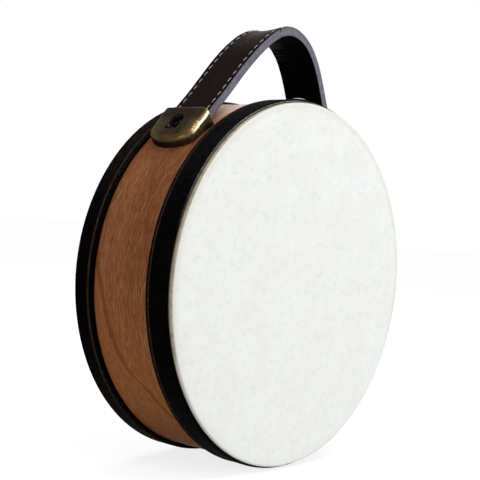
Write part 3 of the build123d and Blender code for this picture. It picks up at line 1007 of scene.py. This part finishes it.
def stitch_points(distance, row):
    """Rings of points along one two-ply stitch, its ends sunk into their holes."""
    for step in range(stitch_steps + 1):
        t = 2 * step / stitch_steps - 1
        _, place, out = ring_at(distance + t * stitch_length / 2)
        across = row - stitch_slant * t
        lift = strap_half_height + stitch_radius * (0.45 - 2.0 * t**6) - stitch_groove * 0.6
        worn = worn_shape(distance, across, strap_half_height)
        middle = place + Vector((0, across + worn.x, 0)) + out * (lift + worn.y)
        for number in range(stitch_sides):
            angle = 2 * pi * number / stitch_sides
            lay = 1 + 0.10 * cos(2 * angle - 3.5 * pi * t)
            reach = stitch_radius * lay * (1 - 0.35 * t**8)
            yield middle + Vector((0, cos(angle), 0)) * reach + out * (sin(angle) * reach)


def make_stitches():
    """Two rows of waxed stitches on the strap's top."""
    points, faces = [], []
    for distance in stitches:
        for row in (front_row, rear_row):
            faces += tube_faces(len(points), stitch_steps + 1, stitch_sides)
            points += stitch_points(distance, row)
    return add_mesh("strap_stitches", points, faces, sharp_angle=80)


def make_strap():
    w, h = strap_half_width, strap_half_height
    core = h - core_inset
    inner = w - skin_inset
    corners = ((-w, -core), (w, -core), (w, core), (-w, core))
    body = rounded_outline([(*corner, core_corner_radius) for corner in corners], steps=3)
    top = rounded_outline((
        (-inner, h - leather_depth, 0),
        (inner, h - leather_depth, 0),
        (inner, h, leather_corner_radius),
        (-inner, h, leather_corner_radius),
    ), steps=4)
    under = [Vector((x, -y)) for x, y in top]
    feet = [f"{side}_strap_{part}" for part in ("bend", "end") for side in ("left", "right")]
    pieces = []
    for name, outline, relief, material, slot, nodes in (
        ("strap_edge", divided(body, 1.2 * MM), edge_relief,
         edge_paint(), "strap_core", ("handle_core",)),
        ("strap_top", divided(top, 0.5 * MM), top_relief,
         strap_leather(), "strap_leather", ("handle_leather", *feet)),
        ("strap_under", divided(under, 0.7 * MM), lining_relief,
         lining_leather(), "strap_lining", ("handle_lining",)),
    ):
        piece = sweep_strap(name, outline, relief)
        drill(piece)
        dress(piece, material)
        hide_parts(*nodes)
        pieces.append(piece)
    rows = make_stitches()
    dress(rows, thread())
    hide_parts("handle_stitching")
    for piece in [*pieces, rows]:
        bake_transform(piece)


# ---------------------------------------- caps
def mark_ridges(piece):
    """Store each point's bulge, as turn per millimetre, evened over its neighbours."""
    mesh = piece.data
    places, outward = (np.empty(len(mesh.vertices) * 3) for _ in range(2))
    ends = np.empty(len(mesh.edges) * 2, int)
    mesh.vertices.foreach_get("co", places)
    mesh.vertices.foreach_get("normal", outward)
    mesh.edges.foreach_get("vertices", ends)
    places, outward, ends = places.reshape(-1, 3), outward.reshape(-1, 3), ends.reshape(-1, 2)
    step = places[ends[:, 1]] - places[ends[:, 0]]
    turn = outward[ends[:, 1]] - outward[ends[:, 0]]
    bulge = (step * turn).sum(1) / np.maximum((step * step).sum(1), 1e-12) * MM
    share = np.bincount(ends.ravel(), minlength=len(places))
    ridge = np.bincount(ends.ravel(), np.repeat(bulge, 2), len(places)) / share
    for _ in range(ridge_rounds):
        near = np.bincount(ends[:, 0], ridge[ends[:, 1]], len(places))
        near += np.bincount(ends[:, 1], ridge[ends[:, 0]], len(places))
        ridge = (ridge + near / share) / 2
    kept = mesh.attributes.new("ridge", "FLOAT", "POINT")
    kept.data.foreach_set("value", ridge.astype(np.float32))


def sink_pit(piece):
    """The small corroded pit beside the screw."""
    outward = Vector((-sin(screw_angle), 0, cos(screw_angle)))
    away = Vector((-cos(screw_angle), 0, -sin(screw_angle)))
    upper = [v.index for v in piece.data.vertices if v.normal.dot(outward) > 0.5]
    for number in upper:
        vertex = piece.data.vertices[number]
        off = Vector((vertex.co.dot(away) - pit[0], vertex.co.y - strap_middle - pit[1])).length
        vertex.co -= outward * pit_depth * bump(off, 0, pit_width)


def make_cap(node, name, material):
    """The pressed cap, its edges softened as in thick sheet."""
    piece = bpy.data.objects.new(name, frame["nodes"][node].data.copy())
    bpy.context.scene.collection.objects.link(piece)
    even = piece.modifiers.new("even", "REMESH")
    even.mode, even.voxel_size = "VOXEL", cap_voxel
    soften = piece.modifiers.new("soften", "SMOOTH")
    soften.factor, soften.iterations = 0.5, cap_softening
    settle(piece)
    if node == "left_cap":
        sink_pit(piece)
    piece.data.shade_smooth()
    mark_ridges(piece)
    dress(piece, material)
    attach(piece, "drum")
    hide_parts(node)


# ---------------------------------------- surroundings
def seen_directly(tree):
    """1 for rays from the eye, and for mirrored and refracted ones."""
    path = tree.nodes.new("ShaderNodeLightPath")
    total = path.outputs["Is Camera Ray"]
    for name in ("Is Glossy Ray", "Is Transmission Ray"):
        most = tree.nodes.new("ShaderNodeMath")
        most.operation = "MAXIMUM"
        tree.links.new(total, most.inputs[0])
        tree.links.new(path.outputs[name], most.inputs[1])
        total = most.outputs[0]
    return total


def make_world():
    """White all round to the eye, a softer white as light."""
    world = bpy.data.worlds.new("studio")
    bpy.context.scene.world = world
    world.use_nodes = True
    tree = world.node_tree
    strength = tree.nodes.new("ShaderNodeMapRange")
    strength.inputs["To Min"].default_value = fill_light
    tree.links.new(seen_directly(tree), strength.inputs["Value"])
    tree.nodes["Background"].inputs["Color"].default_value = (1, 1, 1, 1)
    tree.links.new(strength.outputs[0], tree.nodes["Background"].inputs["Strength"])


def make_ground():
    """White floor that takes only a faint shadow."""
    work = bmesh.new()
    bmesh.ops.create_grid(work, x_segments=1, y_segments=1, size=ground_reach)
    mesh = bpy.data.meshes.new("ground")
    work.to_mesh(mesh)
    work.free()
    floor = bpy.data.objects.new("ground", mesh)
    floor.location.z = ground_height
    bpy.context.scene.collection.objects.link(floor)
    material = bpy.data.materials.new("ground")
    material.use_nodes = True
    tree = material.node_tree
    tree.nodes.remove(tree.nodes["Principled BSDF"])
    matt = tree.nodes.new("ShaderNodeBsdfDiffuse")
    matt.inputs["Color"].default_value = ground_colour
    glow = tree.nodes.new("ShaderNodeEmission")
    level = tree.nodes.new("ShaderNodeMath")
    level.operation = "MULTIPLY"
    level.inputs[1].default_value = ground_glow
    tree.links.new(seen_directly(tree), level.inputs[0])
    tree.links.new(level.outputs[0], glow.inputs["Strength"])
    both = tree.nodes.new("ShaderNodeAddShader")
    tree.links.new(matt.outputs[0], both.inputs[0])
    tree.links.new(glow.outputs[0], both.inputs[1])
    tree.links.new(both.outputs[0], tree.nodes["Material Output"].inputs["Surface"])
    floor.data.materials.append(material)


def add_lamp(name, place, aim, size, power):
    data = bpy.data.lights.new(name, "AREA")
    data.shape, data.size, data.energy = "DISK", size, power
    lamp = bpy.data.objects.new(name, data)
    lamp.location = place
    lamp.rotation_euler = (Vector(aim) - Vector(place)).to_track_quat("-Z", "Y").to_euler()
    lamp.visible_diffuse = name != polish_only
    bpy.context.scene.collection.objects.link(lamp)


def make_camera():
    data = bpy.data.cameras.new("camera")
    data.lens = camera_lens
    camera = bpy.data.objects.new("camera", data)
    right = camera_up.cross(camera_back).normalized()
    back = camera_back.normalized()
    turn = Matrix((right, back.cross(right), back)).transposed()
    camera.matrix_world = Matrix.Translation(camera_place) @ turn.to_4x4()
    bpy.context.scene.collection.objects.link(camera)
    bpy.context.scene.camera = camera


# ---------------------------------------- the scene
nodes = frame["nodes"]
dress(nodes["shell"], beech())
bare = hoop_wood()
for hoop in ("front_hoop", "rear_hoop"):
    dress(nodes[hoop], bare)
make_bands()
make_head()
make_strap()
brass = antique_brass()
steel = dull_steel()
for side in ("left", "right"):
    make_cap(f"{side}_cap", f"{side}_cap_pressing", brass)
    for small in ("screw", "washer", "nut"):
        dress(nodes[f"{side}_cap_{small}"], steel)

make_camera()
make_world()
make_ground()
for lamp in lamps:
    add_lamp(*lamp)
bpy.context.scene.view_settings.view_transform = "Standard"
